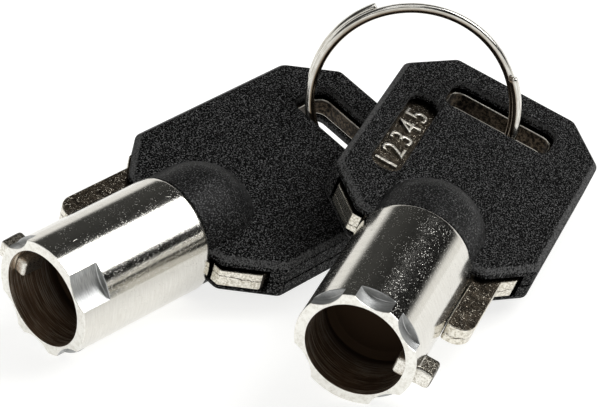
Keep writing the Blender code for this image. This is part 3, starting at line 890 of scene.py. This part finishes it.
def wire_section(steps=28):
    """The wire's cross-section, (radial, axial): round, with faces flattened by coiling."""
    points = []
    for i in range(steps):
        angle = 2 * math.pi * i / steps
        c, s = math.cos(angle), math.sin(angle)
        radial = math.copysign(abs(c) ** WIRE_SQUARENESS, c)
        axial = math.copysign(abs(s) ** WIRE_SQUARENESS, s)
        points.append((WIRE_RADIAL * radial, WIRE_AXIAL * axial))
    return points


def ring_stations(total):
    """Angles along the wire, with two closer ones at each end for its rounded tip."""
    even = [total * i / RING_STEPS for i in range(RING_STEPS + 1)]
    inner = [run for run in even if TIP_ANGLE < run < total - TIP_ANGLE]
    return [0.0, TIP_ANGLE * 0.4] + inner + [total - TIP_ANGLE * 0.4, total]


def tip_shrink(to_end):
    """How much the section shrinks at an angle from the wire's end."""
    if to_end < 1e-6:
        return 0.86
    return 0.96 if to_end < TIP_ANGLE * 0.5 else 1.0


def make_ring():
    sideways, upward, axis = ring_axes()
    centre = Vector(RING_CENTRE)
    doubled = 360.0 - RING_SINGLE
    total = 2 * doubled + RING_SINGLE
    section = wire_section()
    rings, places = [], []
    for run in ring_stations(total):
        to_end = min(run, total - run)
        layer = LAYER_HALF * (2 * ease((run - doubled) / RING_SINGLE) - 1)
        radius = RING_RADIUS + RING_SPREAD * ease(1 - to_end / SPREAD_ANGLE)
        shrink = tip_shrink(to_end)
        angle = math.radians(RING_START + run)
        outward = math.cos(angle) * sideways + math.sin(angle) * upward
        rings.append([(centre + (radius + r * shrink) * outward + (layer + a * shrink) * axis) * MM
                      for r, a in section])
        places += [(math.radians(run) * RING_RADIUS, r, a) for r, a in section]
    bm = bmesh.new()
    loft(bm, rings)
    ring = add_object("split_ring_wire", to_mesh(bm, "ring"), [LOOKS["ring"]])
    remember_places(ring, places)
    smooth(ring, 50.0)
    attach(ring, "ring")
    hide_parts("split_ring")


# ---- floor, light and camera -------------------------------------------------------
def make_floor():
    look = Shader("pale_floor", FLOOR_COLOUR, 0.8, 0.0, False)
    look.set("Specular IOR Level", 0.1)
    look.set("Emission Color", (1.0, 1.0, 0.99, 1.0))
    look.set("Emission Strength", FLOOR_GLOW)
    bm = bmesh.new()
    bmesh.ops.create_grid(bm, x_segments=1, y_segments=1, size=FLOOR_REACH)
    floor = add_object("floor", to_mesh(bm, "floor"), [look.material])


def from_direction(azimuth, elevation, distance):
    a, e = math.radians(azimuth), math.radians(elevation)
    return distance * Vector((math.cos(e) * math.sin(a), math.cos(e) * math.cos(a), math.sin(e)))


def add_area(name, azimuth, elevation, distance, width, height, power, roll):
    """A soft box that faces the object; azimuth 0 is straight behind it, 90 is to the right."""
    light = bpy.data.lights.new(name, "AREA")
    light.shape = "RECTANGLE"
    light.size = width
    light.size_y = height
    light.energy = power
    obj = bpy.data.objects.new(name, light)
    place = from_direction(azimuth, elevation, distance)
    obj.location = place
    turn = (-place).to_track_quat("-Z", "Y").to_matrix() @ Matrix.Rotation(math.radians(roll), 3, "Z")
    obj.rotation_euler = turn.to_euler()
    bpy.context.scene.collection.objects.link(obj)


def make_world():
    """A white horizon that fades to a dark room overhead, darkest to the right, for the metal."""
    world = bpy.data.worlds.new("studio")
    bpy.context.scene.world = world
    world.use_nodes = True
    tree = world.node_tree
    coordinates = tree.nodes.new("ShaderNodeTexCoord")
    parts = tree.nodes.new("ShaderNodeSeparateXYZ")
    tree.links.new(coordinates.outputs["Generated"], parts.inputs["Vector"])
    lean = tree.nodes.new("ShaderNodeMath")
    lean.operation = "MULTIPLY_ADD"
    lean.inputs[1].default_value = HORIZON_LEAN
    tree.links.new(parts.outputs["X"], lean.inputs[0])
    tree.links.new(parts.outputs["Z"], lean.inputs[2])
    horizon = add_ramp(tree, lean.outputs["Value"], warm(HORIZON_STOPS))
    room = add_ramp(tree, parts.outputs["X"], warm(ROOM_STOPS))
    tree.links.new(add_mix(tree, horizon, room, HORIZON_COLOUR), tree.nodes["Background"].inputs["Color"])


def warm(stops):
    """Ramp stops in a faintly warm grey, from stops of brightness."""
    return [(position, (level, level, level * 0.95)) for position, level in stops]


def make_camera():
    camera = bpy.data.cameras.new("camera")
    camera.lens = CAMERA_LENS
    camera.sensor_width = CAMERA_SENSOR
    camera.clip_start = 0.01
    camera.clip_end = 50.0
    obj = bpy.data.objects.new("camera", camera)
    forward, up = Vector(CAMERA_FORWARD).normalized(), Vector(CAMERA_UP).normalized()
    right = forward.cross(up).normalized()
    turn = Matrix((right, right.cross(forward), -forward)).transposed().to_4x4()
    obj.matrix_world = Matrix.Translation(Vector(CAMERA_PLACE) * MM) @ turn
    bpy.context.scene.collection.objects.link(obj)
    bpy.context.scene.camera = obj


LOOKS = {
    "plate": plate_face(),
    "edge": sheared_edge(),
    "slot": slot_edge(),
    "pin": pin_plating(),
    "digits": digit_plating(),
    "plastic": grained_plastic("grained_black_plastic", 0.12, 4.0e-5, 0.02),
    "collar": grained_plastic("collar_black_plastic", 0.16, 2.0e-5, 0.10),
    "ring": ring_wire(),
    "cross_pin": cross_pin_plating(),
}
BARREL_LOOKS = [polished_nickel(), rim_nickel(), milled_nickel(), bored_nickel()]   # WALL, RIM, CUT, BORE

make_camera()
make_floor()
make_world()
for area in LIGHTS:
    add_area(*area)
bpy.context.scene.view_settings.view_transform = "Standard"

make_ring()
for key_side in ("right", "left"):
    placing = key_matrix(key_side)
    make_barrel(key_side, placing)
    make_drive_pin(key_side, placing)
    make_plate(key_side, placing)
    make_digits(key_side, placing)
    make_cover(key_side, "face_cover", 1, placing)
    make_cover(key_side, "back_cover", -1, placing)
    cross_pin = frame["nodes"][f"{key_side}_cross_pin"]
    cross_pin.data.materials.clear()
    cross_pin.data.materials.append(LOOKS["cross_pin"])
